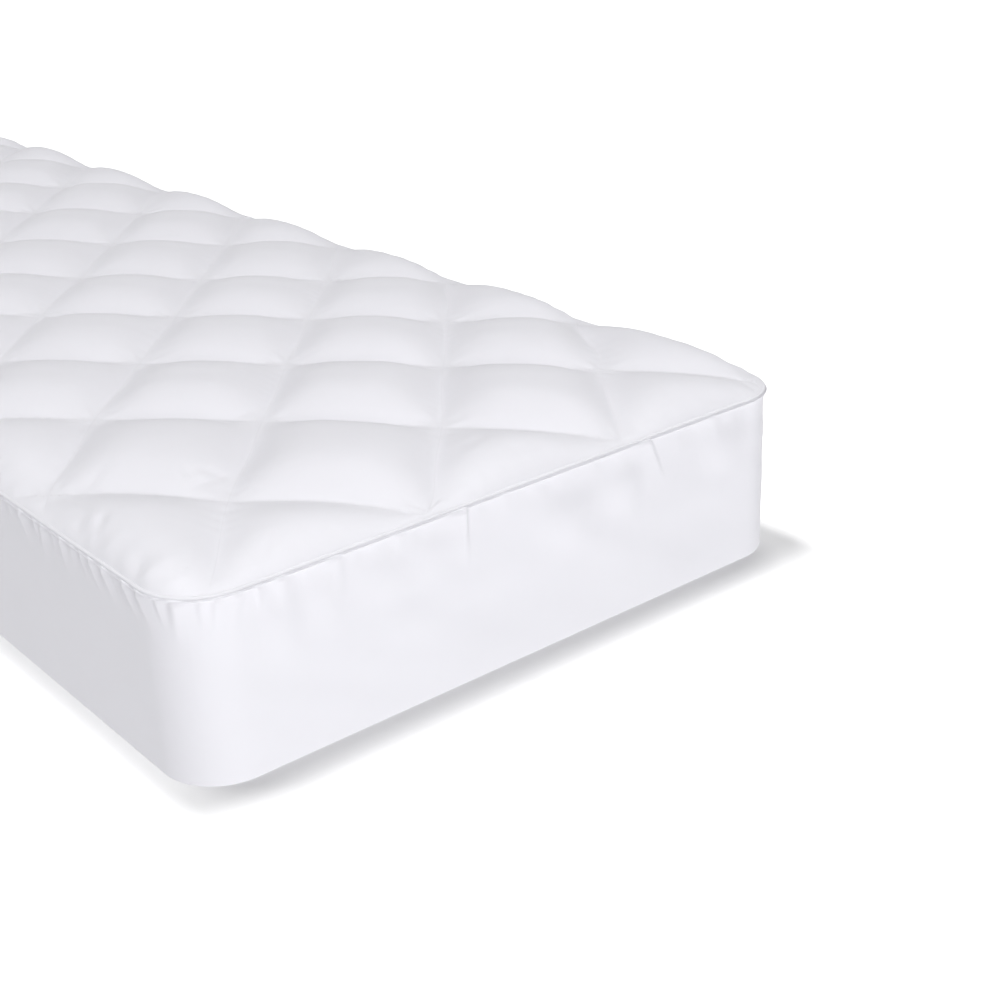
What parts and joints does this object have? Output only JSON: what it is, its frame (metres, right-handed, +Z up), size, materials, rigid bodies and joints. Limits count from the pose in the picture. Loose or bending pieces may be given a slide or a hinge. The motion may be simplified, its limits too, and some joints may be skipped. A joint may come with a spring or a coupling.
{
  "type": "quilted mattress topper on a mattress",
  "caption": "Fitted mattress topper with a filled, diamond-quilted top panel, a piped edge and a deep plain skirt, over a plain mattress.",
  "frame": {"origin": "middle of the footprint, at the floor", "axes": "+X across the foot end, +Y along the mattress away from the foot end, +Z up"},
  "size_m": [0.753, 2.003, 0.2275],
  "materials": {
    "quilted_panel": "fine white microfibre over soft filling, sewn in diamonds, with a faint sheen",
    "edge_piping": "narrow white covered cord, matt, between two seams",
    "skirt": "fine white knit, matt, softly gathered under the piping",
    "mattress": "plain off-white woven ticking, matt"
  },
  "bodies": {
    "root": {"quilted_panel": "quilted_panel", "edge_piping": "edge_piping", "skirt": "skirt", "mattress": "mattress"}
  },
  "joints": []
}
